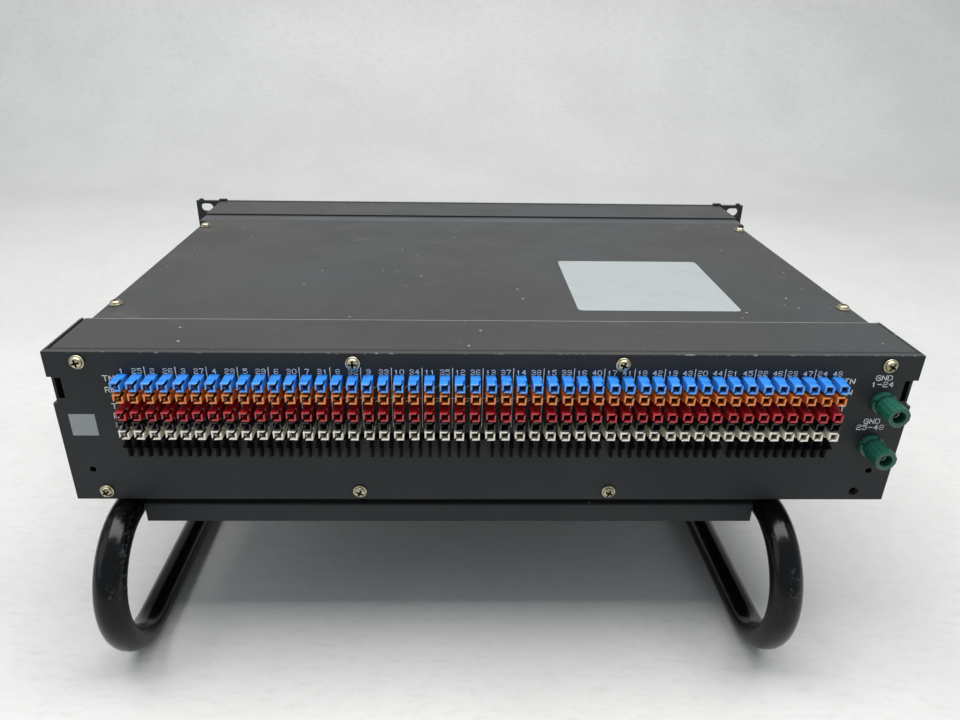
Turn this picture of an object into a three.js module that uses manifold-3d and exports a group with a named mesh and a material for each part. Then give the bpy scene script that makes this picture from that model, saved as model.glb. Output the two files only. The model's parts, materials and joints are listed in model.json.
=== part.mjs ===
// A two-unit rack patch panel seen with its rear terminals towards -Y, on a tubular desk stand.
// Chassis frame: X across, Y from the rear face towards the front jacks, Z up from the chassis bottom.
import * as THREE from 'three';
import { mergeVertices } from 'three/addons/utils/BufferGeometryUtils.js';
import Module from 'manifold-3d';

const wasm = await Module();
wasm.setup();

// ---- Driving dimensions, in millimetres ----
const GAP = 0.3;                 // clearance between pieces that touch
const PANEL_WIDTH = 482.6;       // 19-inch front panel
const PANEL_HEIGHT = 88.1;       // two rack units
const PANEL_THICKNESS = 3.2;
const EAR_SLOT_X = 232.5;
const EAR_SLOT_INSET = 5.95;     // slot centres from the panel's top and bottom edges
const SLOT_RADIUS = 3.7;
const SLOT_HALF = 1.9;           // half the straight part of an ear slot
const EAR_TABS = [[214.6, 221.4], [235.4, 238.6]];
const TAB_RISE = 1.4;            // tabs above the panel's top edge
const BOX_WIDTH = 438.2;         // rear box, outside
const HEIGHT = 87.4;             // chassis height
const BOX_DEPTH = 43.5;          // depth of the rear box's flanges
const BOX_SIDE_DEPTH = 44.3;
const FLANGE_SLIT = { left: 1.5, right: 0.5 };   // between the flanges' ends and the box's sides
const CORNER_DEPTH = 3.8;        // the flanges meet the sides as far as here
const SHEET = 1.5;               // rear box and frame sheet
const BODY_WIDTH = 426.2;        // middle body, outside
const BODY_SHEET = 1.2;
const COVER_DROP = 0.3;          // cover face below the chassis top
const COVER_END = 252.3;
const PAN_LIP = { half: 190, height: 12 };
const SIDE_FLANGE = 13;
const SIDE_START = 8;            // the side plates reach into the rear box
const FRAME_WIDTH = 440.6;       // front frame, outside
const FRAME_START = 252.8;
const JOGGLE_END = 272.4;        // the frame's rear lip is pressed down as far as here
const JOGGLE_DROP = 1.2;
const FRAME_LIP_INSET = 1;       // the lip's sides from the frame's sides
const FRAME_OPENING = { side: 16, low: 7, top: 3 };
const PANEL_BACK = 315.7;        // back face of the front panel
const PANEL_FRONT = PANEL_BACK + PANEL_THICKNESS;

const COLUMNS = 48;
const COLUMN_PITCH = 7.62;
const FIELD_CENTRE_X = -2.54;    // the terminal field sits left of centre, beside the ground posts
const FIRST_COLUMN_X = FIELD_CENTRE_X - COLUMN_PITCH * (COLUMNS - 1) / 2;
const ROWS = [
  { name: 'tip_normal_terminals', z: 72.9, colour: 0x3a86f2 },
  { name: 'ring_normal_terminals', z: 66.45, colour: 0xc9671e },
  { name: 'tip_terminals', z: 57.1, colour: 0x971622 },
  { name: 'ring_terminals', z: 51.7, colour: 0x161616 },
  { name: 'sleeve_terminals', z: 46.35, colour: 0xe2decf },
];
const TUBE_SIDE = 4.95;          // square terminal tube, outside
const TUBE_BORE = 3.3;
const TUBE_REACH = 10.4;         // how far the tubes stand out of the rear face
const TUBE_POCKET = 9.0;
const SLOT_WIDTH = 5.7;          // one slot in the rear face for each column
const SLOT_MARGIN = 0.45;
const CARRIER_BACK = 4.8;
const CARRIER_MARGIN = 5.4;      // carrier ends past the end columns
const CARRIER_EXTRA = 0.05;      // carrier above and below its tubes

const COMB_MODULES = 6;
const COMB_MODULE_PITCH = 62.4;
const COMB_TEETH = 12;
const COMB_TOOTH_PITCH = 5.0;
const COMB_FIRST_X = -184.0;
const COMB_TOOTH_WIDTH = 1.5;
const COMB_BLADE = [[-1.0, 41.6], [-8.6, 38.0], [-4.1, 34.6], [-3.9, 29.6], [-1.0, 28.6]];   // [y, z]
const COMB_RAIL = { depth: 1.4, z: [38.6, 41.6], margin: 2.5 };

const JACKS = 24;                // in each of two rows
const JACK_PITCH = 15.875;
const JACK_ROWS = [{ name: 'lower', z: 22.5, strip: 40.8 }, { name: 'upper', z: 60.5, strip: 78.6 }];
const JACK_BORE = 3.6;           // radii, to the corners of their six-sided sections
const JACK_NOSE = 5.2;
const JACK_HOLE = 5.7;
const JACK_SIDES = 6;
const JACK_BODY = { half: 5.4, length: 62, halfHeight: 8 };
const JACK_BAR = { half: 190, thickness: 5, halfHeight: 8.6 };
const JACK_BORE_DEPTH = 26;
const NOSE_PROUD = 1.8;          // bushings past the panel's face
const HOLDER_DEPTH = 2.6;        // label strip holders, in front of the panel
const HOLDER = { half: 196, halfHeight: 6.2, floor: 0.8 };
const HOLDER_WINDOW = { half: 193, halfHeight: 4.4 };
const STRIP_THICKNESS = 0.6;

const POST_X = 203.4;
const POST_Z = [61.0, 35.6];     // jacks 1-24 above, 25-48 below
const POST_HOLE = 4.1;
const POST_BORE = 2.9;           // through the pieces on the stud
const COLLAR = { radius: 6.4, end: -3, back: 0.9, spigot: 3.7 };
const STUD = { radius: 2.5, pin: 1.95, shoulder: -12.2, end: -4.5, back: 13.4 };
const WASHER = { radius: 4.6, y: [-3.9, -3.3] };
const KNOB = { radius: 5.6, end: -16.5, base: -4.2, bore: 3.2, web: -11 };
const KNOB_SIDES = 12;
const FLUTE_RADIUS = 0.5;
const INSULATOR = { radius: 6.2, thickness: 2 };
const NUT = { bore: 3.1, radius: 4.9, y: [4.2, 7.2] };
const LUG = { radius: 4.8, y: [7.5, 8.3], tail: 12, halfTail: 2 };
const POST_SIDES = 8;            // stud, insulator and lug
const LEAD_RADIUS = 1.3;         // green ground lead
const LEAD_SIDES = 5;
const GROUND_BUS = { x: [-184, 188], back: 60, drop: 10.6, depth: 3, thickness: 2 };
const BOARD = { half: 192, z: [9.9, 77.1], thickness: 1.6 };
const BOARD_RAILS = {            // z of the upright's two edges and of the shelf
  upper_board_rail: [77.6, 85.2, 77.6],
  lower_board_rail: [2, 9.5, 8],
};
const BOARD_RAIL = { half: 207, face: 3.3, depth: 12, hole: 2.4 };
const HARNESS = { half: 150, thickness: 2.4, sag: 8, bendY: [90, 150] };
const HARNESS_Z = [24, 60];      // where each ribbon meets the board
const SMALL_HOLE = { radius: 1.75, x: 207, z: 19.1 };
const EDGE_NOTCH = { x: [216.3, 230], depth: 4, z: [58.6, 73.5] };      // through the folded edge
const FACE_NOTCH = { x: [212.2, 217], z: [61, 73.2] };                  // its reach into the rear face
const HOLE_SIDES = 12;           // holes that stay open to view
const HIDDEN_SIDES = 6;          // holes under a screw head
const SCREW_X = [67.2, 202];
const SCREW_Z = { top: 82, bottom: 5.6 };
const SHANK = 1.9;               // screw shank radius
const SHANK_LENGTH = { sheet: 7.2, panel: 7.5 };
const HEAD = { top: 2.3, washer: 3.7, rim: -1.1 };
const CROSS = { half: 1.7, wing: 0.4, floor: -1.8 };
const SCREW_SIDES = 8;
const SCREW_HEAD = 2.9;          // height of a screw's head above its sheet
const SCREW_CLEARANCE = 2.6;     // screw hole radius, to the corners of its section
const COVER_SCREWS = { x: 208.6, y: [65, 234] };
const FRONT_SCREWS = { x: 213.4, z: [16.5, 71] };

const LEG_RADIUS = 8;            // 16 mm tube, to the flats of its section
const LEG_BEND = 39;             // bend radius to the tube's centre line
const LEG_X = [-194.3, 158.8];   // the chassis stands off-centre on the stand
const LEG_REAR_CENTRE = 3.2;
const LEG_FRONT_CENTRE = 252;
const LEG_SIDES = 11;
const SHELF_TOP = -5.6;
const SHELF_BOTTOM = -17;
const SHELF_FRONT = 251;

const FLOOR = -GAP - 2 * LEG_RADIUS - 2 * LEG_BEND;
const REAR_END = LEG_REAR_CENTRE - LEG_BEND - LEG_RADIUS;
const FRONT_END = PANEL_FRONT + SCREW_HEAD;

// ---- Materials ----
function finish(colour, roughness, metalness = 0) {
  return new THREE.MeshStandardMaterial({ color: colour, roughness, metalness });
}
const POWDER_COAT = finish(0x2b2e30, 0.62);
const GLOSS_PAINT = finish(0x141618, 0.3);
const BLACK_PLASTIC = finish(0x151617, 0.5);
const GREEN_PLASTIC = finish(0x1d6147, 0.35);
const ZINC = finish(0xc9bd8f, 0.32, 0.9);
const NICKEL = finish(0xb9b8b2, 0.28, 0.95);
const BRASS = finish(0xb08d45, 0.3, 0.9);
const LAMINATE = finish(0x2f5b35, 0.5);
const PAPER = finish(0xe9e7e0, 0.8);
const RIBBON = finish(0x8a8d90, 0.6);
const GREEN_WIRE = finish(0x2f7a3e, 0.55);

// ---- Solids ----
function solid(geometry) {
  geometry.deleteAttribute('normal');
  geometry.deleteAttribute('uv');
  const merged = mergeVertices(geometry, 1e-4);
  return new wasm.Manifold(new wasm.Mesh({
    numProp: 3,
    vertProperties: new Float32Array(merged.attributes.position.array),
    triVerts: new Uint32Array(merged.index.array),
  }));
}

function geometryOf(manifold) {
  const mesh = manifold.getMesh();
  const geometry = new THREE.BufferGeometry();
  geometry.setAttribute('position', new THREE.BufferAttribute(mesh.vertProperties, 3));
  geometry.setIndex(new THREE.BufferAttribute(mesh.triVerts, 1));
  return geometry;
}

function join(pieces) {
  return pieces.reduce((whole, piece) => whole.add(piece));
}

function cut(whole, tools) {
  return tools.reduce((rest, tool) => rest.subtract(tool), whole);
}

function block([x0, x1], [y0, y1], [z0, z1]) {
  const geometry = new THREE.BoxGeometry(x1 - x0, y1 - y0, z1 - z0);
  geometry.translate((x0 + x1) / 2, (y0 + y1) / 2, (z0 + z1) / 2);
  return solid(geometry);
}

// A rod along Y, turned so that flats face up and sideways.
function rodY(radius, [y0, y1], x, z, sides) {
  const geometry = new THREE.CylinderGeometry(radius, radius, y1 - y0, sides);
  geometry.rotateY(Math.PI / sides);
  geometry.translate(x, (y0 + y1) / 2, z);
  return solid(geometry);
}

function rodZ(radius, [z0, z1], x, y, sides) {
  const geometry = new THREE.CylinderGeometry(radius, radius, z1 - z0, sides);
  geometry.rotateX(Math.PI / 2);
  geometry.translate(x, y, (z0 + z1) / 2);
  return solid(geometry);
}

// A turned piece about an axis along Y. The profile lists [radius, y] and closes on itself.
function turned(profile, sides) {
  const points = profile.map(([radius, y]) => new THREE.Vector2(radius, y));
  return solid(new THREE.LatheGeometry(points, sides));
}

// The two numbers of a span on one side of the middle, smaller first.
function span(side, [near, far]) {
  return side < 0 ? [-far, -near] : [near, far];
}

// An outline in the YZ plane, drawn out along X from x0 to x1.
function profileX(outline, [x0, x1]) {
  const shape = new THREE.Shape(outline.map(([y, z]) => new THREE.Vector2(y, z)));
  const geometry = new THREE.ExtrudeGeometry(shape, { depth: x1 - x0, bevelEnabled: false });
  geometry.applyMatrix4(new THREE.Matrix4().set(0, 0, 1, x0, 1, 0, 0, 0, 0, 1, 0, 0, 0, 0, 0, 1));
  return solid(geometry);
}

function each(count, make) {
  return Array.from({ length: count }, (_, index) => make(index));
}

const part = new THREE.Group();
const chassis = new THREE.Group();
chassis.position.set(0, -(REAR_END + FRONT_END) / 2, -FLOOR);
part.add(chassis);

function place(name, body, material, [x, y, z] = [0, 0, 0]) {
  const mesh = new THREE.Mesh(geometryOf(body), material);
  mesh.name = name;
  mesh.position.set(x, y, z);
  chassis.add(mesh);
  return mesh;
}

const columnX = (column) => FIRST_COLUMN_X + COLUMN_PITCH * column;
const jackX = (jack) => JACK_PITCH * (jack - (JACKS - 1) / 2);

// ---- Sheet metal ----
function rearPanel() {
  const half = BOX_WIDTH / 2;
  const flange = [SHEET + FLANGE_SLIT.left - half, half - SHEET - FLANGE_SLIT.right];
  let panel = join([
    block([-half, half], [0, SHEET], [0, HEIGHT]),
    block([-half, half], [0, CORNER_DEPTH], [HEIGHT - SHEET, HEIGHT]),
    block([-half, half], [0, CORNER_DEPTH], [0, SHEET]),
    block(flange, [0, BOX_DEPTH], [HEIGHT - SHEET, HEIGHT]),
    block(flange, [0, BOX_DEPTH], [0, SHEET]),
    block([-half, SHEET - half], [0, BOX_SIDE_DEPTH], [0, HEIGHT]),
    block([half - SHEET, half], [0, BOX_SIDE_DEPTH], [0, HEIGHT]),
  ]);
  const slotTop = ROWS[0].z + TUBE_SIDE / 2 + SLOT_MARGIN;
  const slotBottom = ROWS[4].z - TUBE_SIDE / 2 - SLOT_MARGIN;
  const through = [-1, SHEET + 1];
  const slots = each(COLUMNS, (column) => block(
    [columnX(column) - SLOT_WIDTH / 2, columnX(column) + SLOT_WIDTH / 2], through, [slotBottom, slotTop]));
  const postHoles = POST_Z.map((z) => rodY(POST_HOLE, through, POST_X, z, HOLE_SIDES));
  const screwHoles = [];
  const edgeCuts = [];
  for (const side of [-1, 1]) {
    for (const x of SCREW_X) {
      const empty = side > 0 && x === SCREW_X[1];
      screwHoles.push(rodY(SCREW_CLEARANCE, through, side * x, SCREW_Z.top, HIDDEN_SIDES));
      screwHoles.push(rodY(SCREW_CLEARANCE, through, side * x, SCREW_Z.bottom, empty ? HOLE_SIDES : HIDDEN_SIDES));
    }
    screwHoles.push(rodY(SMALL_HOLE.radius, through, side * SMALL_HOLE.x, SMALL_HOLE.z, HOLE_SIDES));
    edgeCuts.push(block(span(side, EDGE_NOTCH.x), [-1, EDGE_NOTCH.depth], EDGE_NOTCH.z));
    edgeCuts.push(block(span(side, FACE_NOTCH.x), through, FACE_NOTCH.z));
  }
  panel = cut(panel, [...slots, ...postHoles, ...screwHoles, ...edgeCuts]);
  place('rear_panel', panel, POWDER_COAT);
}

function body() {
  const half = BODY_WIDTH / 2;
  const coverTop = HEIGHT - COVER_DROP;
  const start = BOX_DEPTH + GAP;
  const coverHoles = [];
  for (const side of [-1, 1]) {
    for (const y of COVER_SCREWS.y) {
      coverHoles.push(rodZ(SCREW_CLEARANCE, [HEIGHT / 2, HEIGHT + 1], side * COVER_SCREWS.x, y, HIDDEN_SIDES));
    }
  }
  const cover = block([-half, half], [start, COVER_END], [coverTop - BODY_SHEET, coverTop]);
  place('top_cover', cut(cover, coverHoles), POWDER_COAT);
  const pan = join([
    block([-half, half], [start, COVER_END], [0, BODY_SHEET]),
    block([-PAN_LIP.half, PAN_LIP.half], [start, start + BODY_SHEET], [0, PAN_LIP.height]),
    block([-PAN_LIP.half, PAN_LIP.half], [COVER_END - BODY_SHEET, COVER_END], [0, PAN_LIP.height]),
  ]);
  place('bottom_pan', pan, POWDER_COAT);
  const wallTop = coverTop - BODY_SHEET - GAP;
  const wallBottom = SHEET + GAP;
  for (const side of [-1, 1]) {
    const wall = span(side, [half - BODY_SHEET, half]);
    const flange = span(side, [half - SIDE_FLANGE, half]);
    const length = [SIDE_START, COVER_END];
    const plate = join([
      block(wall, length, [wallBottom, wallTop]),
      block(flange, length, [wallTop - BODY_SHEET, wallTop]),
      block(flange, length, [wallBottom, wallBottom + BODY_SHEET]),
    ]);
    place(side < 0 ? 'left_side_plate' : 'right_side_plate', cut(plate, coverHoles), POWDER_COAT);
  }
}

function frontFrame() {
  const half = FRAME_WIDTH / 2;
  const lipHalf = half - FRAME_LIP_INSET;
  const mouthHalf = half - FRAME_OPENING.side;
  const back = PANEL_BACK - GAP;
  const lipTop = HEIGHT - JOGGLE_DROP;
  const overlap = JOGGLE_END + SHEET + GAP;
  const ring = cut(block([-half, half], [JOGGLE_END, back], [0, HEIGHT]), [
    block([SHEET - half, half - SHEET], [JOGGLE_END - 1, back - SHEET], [SHEET, HEIGHT - SHEET]),
    block([-mouthHalf, mouthHalf], [JOGGLE_END, back + 1], [FRAME_OPENING.low, HEIGHT - FRAME_OPENING.top]),
  ]);
  const lip = cut(block([-lipHalf, lipHalf], [FRAME_START, overlap], [JOGGLE_DROP, lipTop]), [
    block([SHEET - lipHalf, lipHalf - SHEET], [FRAME_START - 1, overlap + 1],
      [JOGGLE_DROP + SHEET, lipTop - SHEET]),
  ]);
  const holes = [];
  for (const side of [-1, 1]) {
    for (const z of FRONT_SCREWS.z) {
      holes.push(rodY(SCREW_CLEARANCE, [back - SHEET - 1, back + 1], side * FRONT_SCREWS.x, z, HIDDEN_SIDES));
    }
  }
  place('front_frame', cut(join([ring, lip]), holes), POWDER_COAT);
}

// ---- Front panel and jacks ----
function frontPanel() {
  const low = (HEIGHT - PANEL_HEIGHT) / 2;
  const high = low + PANEL_HEIGHT;
  const depth = [PANEL_BACK, PANEL_FRONT];
  const pieces = [block([-PANEL_WIDTH / 2, PANEL_WIDTH / 2], depth, [low, high])];
  const through = [PANEL_BACK - 1, PANEL_FRONT + 1];
  const cuts = [];
  for (const side of [-1, 1]) {
    for (const tab of EAR_TABS) {
      pieces.push(block(span(side, tab), depth, [high - 1, high + TAB_RISE]));
    }
    for (const z of [low + EAR_SLOT_INSET, high - EAR_SLOT_INSET]) {
      cuts.push(rodY(SLOT_RADIUS, through, side * EAR_SLOT_X - SLOT_HALF, z, 8));
      cuts.push(rodY(SLOT_RADIUS, through, side * EAR_SLOT_X + SLOT_HALF, z, 8));
    }
    for (const z of FRONT_SCREWS.z) {
      cuts.push(rodY(SCREW_CLEARANCE, through, side * FRONT_SCREWS.x, z, HIDDEN_SIDES));
    }
  }
  for (const row of JACK_ROWS) {
    cuts.push(...each(JACKS, (jack) => rodY(JACK_HOLE, through, jackX(jack), row.z, JACK_SIDES)));
  }
  place('front_panel', cut(join(pieces), cuts), POWDER_COAT);
}

function jackRow(row) {
  const back = PANEL_BACK - GAP;
  const nose = PANEL_FRONT + NOSE_PROUD;
  const bar = block([-JACK_BAR.half, JACK_BAR.half], [back - JACK_BAR.thickness, back],
    [row.z - JACK_BAR.halfHeight, row.z + JACK_BAR.halfHeight]);
  const jacks = each(JACKS, (jack) => join([
    block([jackX(jack) - JACK_BODY.half, jackX(jack) + JACK_BODY.half],
      [back - JACK_BODY.length, back - JACK_BAR.thickness + 1],
      [row.z - JACK_BODY.halfHeight, row.z + JACK_BODY.halfHeight]),
    rodY(JACK_NOSE, [back - 1, nose], jackX(jack), row.z, JACK_SIDES),
  ]));
  const bores = each(JACKS, (jack) => rodY(JACK_BORE, [back - JACK_BORE_DEPTH, nose + 1], jackX(jack), row.z,
    JACK_SIDES));
  place(`${row.name}_jack_row`, cut(join([bar, ...jacks]), bores), BLACK_PLASTIC);
}

function labelStrip(row) {
  const face = PANEL_FRONT + GAP;
  const floor = face + HOLDER.floor;
  const window = (inset) => [
    [inset - HOLDER_WINDOW.half, HOLDER_WINDOW.half - inset],
    [row.strip - HOLDER_WINDOW.halfHeight + inset, row.strip + HOLDER_WINDOW.halfHeight - inset],
  ];
  const [mouthX, mouthZ] = window(0);
  const [stripX, stripZ] = window(GAP);
  const holder = cut(block([-HOLDER.half, HOLDER.half], [face, PANEL_FRONT + HOLDER_DEPTH],
    [row.strip - HOLDER.halfHeight, row.strip + HOLDER.halfHeight]), [block(mouthX, [floor, FRONT_END + 1], mouthZ)]);
  place(`${row.name}_strip_holder`, holder, BLACK_PLASTIC);
  const strip = block(stripX, [floor + GAP, floor + GAP + STRIP_THICKNESS], stripZ);
  place(`${row.name}_label_strip`, strip, PAPER);
}

// ---- Terminals, board and wiring ----
function terminalRow(row) {
  const half = TUBE_SIDE / 2;
  const bore = TUBE_BORE / 2;
  const ends = [columnX(0) - CARRIER_MARGIN, columnX(COLUMNS - 1) + CARRIER_MARGIN];
  const carrierHalf = half + CARRIER_EXTRA;
  const root = SHEET + GAP;
  const carrier = block(ends, [root, CARRIER_BACK], [row.z - carrierHalf, row.z + carrierHalf]);
  const tubes = each(COLUMNS, (column) => cut(
    block([columnX(column) - half, columnX(column) + half], [-TUBE_REACH, root + 1], [row.z - half, row.z + half]),
    [block([columnX(column) - bore, columnX(column) + bore], [-TUBE_REACH - 1, TUBE_POCKET - TUBE_REACH],
      [row.z - bore, row.z + bore])]));
  place(row.name, join([carrier, ...tubes]), finish(row.colour, 0.38));
}

// Blades that keep the wires in order. Seen from the side, each has a long upper barb and a short lower one.
function wireComb() {
  const lastX = COMB_FIRST_X + COMB_MODULE_PITCH * (COMB_MODULES - 1) + COMB_TOOTH_PITCH * (COMB_TEETH - 2);
  const rail = block([COMB_FIRST_X - COMB_RAIL.margin, lastX + COMB_RAIL.margin], [-COMB_RAIL.depth, -GAP],
    COMB_RAIL.z);
  const teeth = [];
  for (let module = 0; module < COMB_MODULES; module += 1) {
    for (let tooth = 0; tooth < COMB_TEETH; tooth += 1) {
      const x = COMB_FIRST_X + COMB_MODULE_PITCH * module + COMB_TOOTH_PITCH * tooth;
      if (x > lastX + 1) {
        continue;
      }
      teeth.push(profileX(COMB_BLADE, [x - COMB_TOOTH_WIDTH / 2, x + COMB_TOOTH_WIDTH / 2]));
    }
  }
  place('wire_comb', join([rail, ...teeth]), BLACK_PLASTIC);
}

function board() {
  const back = CARRIER_BACK + GAP;
  place('terminal_board', block([-BOARD.half, BOARD.half], [back, back + BOARD.thickness], BOARD.z), LAMINATE);
  const width = [-BOARD_RAIL.half, BOARD_RAIL.half];
  const inside = SHEET + GAP;
  for (const [name, [low, high, shelf]] of Object.entries(BOARD_RAILS)) {
    const rail = join([
      block(width, [inside, BOARD_RAIL.face], [low, high]),
      block(width, [inside, BOARD_RAIL.depth], [shelf, shelf + SHEET]),
    ]);
    const z = name === 'upper_board_rail' ? SCREW_Z.top : SCREW_Z.bottom;
    const holes = [-1, 1].flatMap((side) => SCREW_X.map((x) => rodY(
      BOARD_RAIL.hole, [inside - 1, BOARD_RAIL.face + 1], side * x, z, HIDDEN_SIDES)));
    place(name, cut(rail, holes), ZINC);
  }
}

// A flat ribbon of wires from the board to the back of one jack row.
function harness(row, boardZ) {
  const start = new THREE.Vector2(CARRIER_BACK + GAP + BOARD.thickness + GAP, boardZ);
  const end = new THREE.Vector2(PANEL_BACK - GAP - JACK_BODY.length - GAP, row.z);
  const path = new THREE.CubicBezierCurve(start, new THREE.Vector2(HARNESS.bendY[0], boardZ - HARNESS.sag),
    new THREE.Vector2(HARNESS.bendY[1], row.z - HARNESS.sag), end);
  const points = path.getPoints(12);
  const outline = [
    ...points.map((point) => [point.x, point.y + HARNESS.thickness / 2]),
    ...points.reverse().map((point) => [point.x, point.y - HARNESS.thickness / 2]),
  ];
  place(`${row.name}_harness`, profileX(outline, [-HARNESS.half, HARNESS.half]), RIBBON);
}

// A bare bar under one jack row, and the green lead that takes it to its ground post.
function ground(row, postIndex) {
  const busY = PANEL_BACK - GAP - GROUND_BUS.back;
  const busZ = row.z - GROUND_BUS.drop;
  place(`${row.name}_ground_bus`, block(GROUND_BUS.x, [busY, busY + GROUND_BUS.depth],
    [busZ, busZ + GROUND_BUS.thickness]), BRASS);
  const post = new THREE.Vector3(POST_X, STUD.back + 1.1, POST_Z[postIndex]);
  // The lead leaves the bus's end, runs along the right side and rises to the back of the stud.
  const path = new THREE.CatmullRomCurve3([
    new THREE.Vector3(GROUND_BUS.x[1] + 1.8, busY + 1.5, busZ + 1),
    new THREE.Vector3(197, busY - 12, busZ + 2),
    new THREE.Vector3(205, 150, POST_Z[postIndex] - 12),
    new THREE.Vector3(205, 60, POST_Z[postIndex] - 8),
    post.clone().add(new THREE.Vector3(0, 16, -3)),
    post,
  ]);
  const section = new THREE.Shape(each(LEAD_SIDES, (side) => new THREE.Vector2(
    LEAD_RADIUS * Math.cos(2 * Math.PI * side / LEAD_SIDES),
    LEAD_RADIUS * Math.sin(2 * Math.PI * side / LEAD_SIDES))));
  const lead = new THREE.ExtrudeGeometry(section, { steps: 12, extrudePath: path, bevelEnabled: false });
  place(`${row.name}_ground_lead`, solid(lead), GREEN_WIRE);
}

// ---- Ground posts ----
function groundPost(label, z) {
  const at = [POST_X, 0, z];
  const inside = SHEET + GAP;
  // A ring about the stud, from one Y to the other.
  const ring = (bore, radius, [near, far], sides) => turned(
    [[bore, near], [radius, near], [radius, far], [bore, far], [bore, near]], sides);
  const collar = turned([[POST_BORE, COLLAR.back], [POST_BORE, COLLAR.end], [COLLAR.radius - 0.4, COLLAR.end],
    [COLLAR.radius, COLLAR.end + 0.4], [COLLAR.radius, -GAP], [COLLAR.spigot, -GAP], [COLLAR.spigot, COLLAR.back],
    [POST_BORE, COLLAR.back]], KNOB_SIDES);
  place(`${label}_post_collar`, collar, GREEN_PLASTIC, at);
  const stud = turned([[0, STUD.end], [STUD.pin, STUD.end], [STUD.pin, STUD.shoulder],
    [STUD.radius, STUD.shoulder], [STUD.radius, STUD.back], [0, STUD.back]], POST_SIDES);
  place(`${label}_post_stud`, stud, NICKEL, at);
  const insulator = ring(POST_BORE, INSULATOR.radius, [inside, inside + INSULATOR.thickness], POST_SIDES);
  place(`${label}_post_insulator`, insulator, GREEN_PLASTIC, at);
  place(`${label}_post_nut`, ring(NUT.bore, NUT.radius, NUT.y, 6), ZINC, at);
  const lugTail = block([-LUG.halfTail, LUG.halfTail], LUG.y, [-LUG.tail, 0]);
  const lugEye = rodY(LUG.radius, LUG.y, 0, 0, POST_SIDES);
  const lug = cut(join([lugEye, lugTail]), [rodY(POST_BORE, [LUG.y[0] - 1, LUG.y[1] + 1], 0, 0, POST_SIDES)]);
  place(`${label}_post_lug`, lug, NICKEL, at);
  place(`${label}_post_washer`, ring(POST_BORE, WASHER.radius, WASHER.y, 10), NICKEL, at);
  const rim = KNOB.radius - 0.4;
  const barrel = turned([[POST_BORE, KNOB.base], [POST_BORE, KNOB.web], [KNOB.bore, KNOB.web], [KNOB.bore, KNOB.end],
    [rim, KNOB.end], [KNOB.radius, KNOB.end + 0.5], [KNOB.radius, KNOB.base - 0.5], [rim, KNOB.base],
    [POST_BORE, KNOB.base]], KNOB_SIDES);
  const flutes = each(KNOB_SIDES, (flute) => {
    const angle = 2 * Math.PI * (flute + 0.5) / KNOB_SIDES;
    const reach = KNOB.radius + 0.1;
    return rodY(FLUTE_RADIUS, [KNOB.end - 1, KNOB.base - 1], reach * Math.sin(angle), reach * Math.cos(angle), 4);
  });
  place(`${label}_post_knob`, cut(barrel, flutes), GREEN_PLASTIC, at);
}

// ---- Fasteners ----
// A cross-recess pan head on its washer, with the head towards -Y.
function screwSolid(shankEnd) {
  const head = turned([[0, -SCREW_HEAD], [HEAD.top, -SCREW_HEAD], [HEAD.washer, HEAD.rim], [HEAD.washer, -GAP],
    [SHANK, -GAP], [SHANK, shankEnd], [0, shankEnd]], SCREW_SIDES);
  const length = [-CROSS.half, CROSS.half];
  const width = [-CROSS.wing, CROSS.wing];
  const recess = [-SCREW_HEAD - 1, CROSS.floor];
  return cut(head, [block(length, recess, width), block(width, recess, length)]);
}

function screws() {
  const panScrew = screwSolid(SHANK_LENGTH.sheet);
  let count = 0;
  for (const [edge, z] of Object.entries(SCREW_Z)) {
    for (const x of [-SCREW_X[1], -SCREW_X[0], SCREW_X[0], SCREW_X[1]]) {
      const missing = edge === 'bottom' && x === SCREW_X[1];
      if (!missing) {
        count += 1;
        place(`rear_screw_${count}`, panScrew, ZINC, [x, 0, z]).rotation.y = 0.35 * count;
      }
    }
  }
  const coverTop = HEIGHT - COVER_DROP;
  let coverCount = 0;
  for (const x of [-COVER_SCREWS.x, COVER_SCREWS.x]) {
    for (const y of COVER_SCREWS.y) {
      coverCount += 1;
      place(`cover_screw_${coverCount}`, panScrew, ZINC, [x, y, coverTop]).rotation.x = -Math.PI / 2;
    }
  }
  const frontScrew = screwSolid(SHANK_LENGTH.panel);
  let frontCount = 0;
  for (const x of [-FRONT_SCREWS.x, FRONT_SCREWS.x]) {
    for (const z of FRONT_SCREWS.z) {
      frontCount += 1;
      place(`front_screw_${frontCount}`, frontScrew, BLACK_PLASTIC, [x, PANEL_FRONT, z]).rotation.x = Math.PI;
    }
  }
}

// ---- Stand ----
// The centre line of one closed leg: a straight run on the floor, a front bend, a straight run under the
// chassis and a rear bend. Each bend takes BEND_STEPS of the even steps of t, and each straight takes one.
const BEND_STEPS = 8;
const LEG_STEPS = 2 * BEND_STEPS + 2;

class LegLine extends THREE.Curve {
  getPoint(t, target = new THREE.Vector3()) {
    const step = t * LEG_STEPS;
    const high = step > BEND_STEPS + 1;
    const local = high ? step - BEND_STEPS - 1 : step;
    const angle = Math.PI * Math.max(local - 1, 0) / BEND_STEPS + (high ? Math.PI : 0);
    const centre = high ? LEG_REAR_CENTRE : LEG_FRONT_CENTRE;
    const straight = Math.min(local, 1);
    const from = high ? LEG_FRONT_CENTRE : LEG_REAR_CENTRE;
    const y = local < 1 ? from + (centre - from) * straight : centre;
    return target.set(0, y + LEG_BEND * Math.sin(angle), -LEG_BEND * Math.cos(angle));
  }

  getUtoTmapping(u) {
    return u;
  }

  getTangent(t, target = new THREE.Vector3()) {
    const step = (t * LEG_STEPS) % LEG_STEPS;
    const high = step > BEND_STEPS + 0.999;
    const local = high ? step - BEND_STEPS - 1 : step;
    const angle = Math.PI * Math.max(local - 1, 0) / BEND_STEPS + (high ? Math.PI : 0);
    return target.set(0, Math.cos(angle), Math.sin(angle));
  }
}

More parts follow.
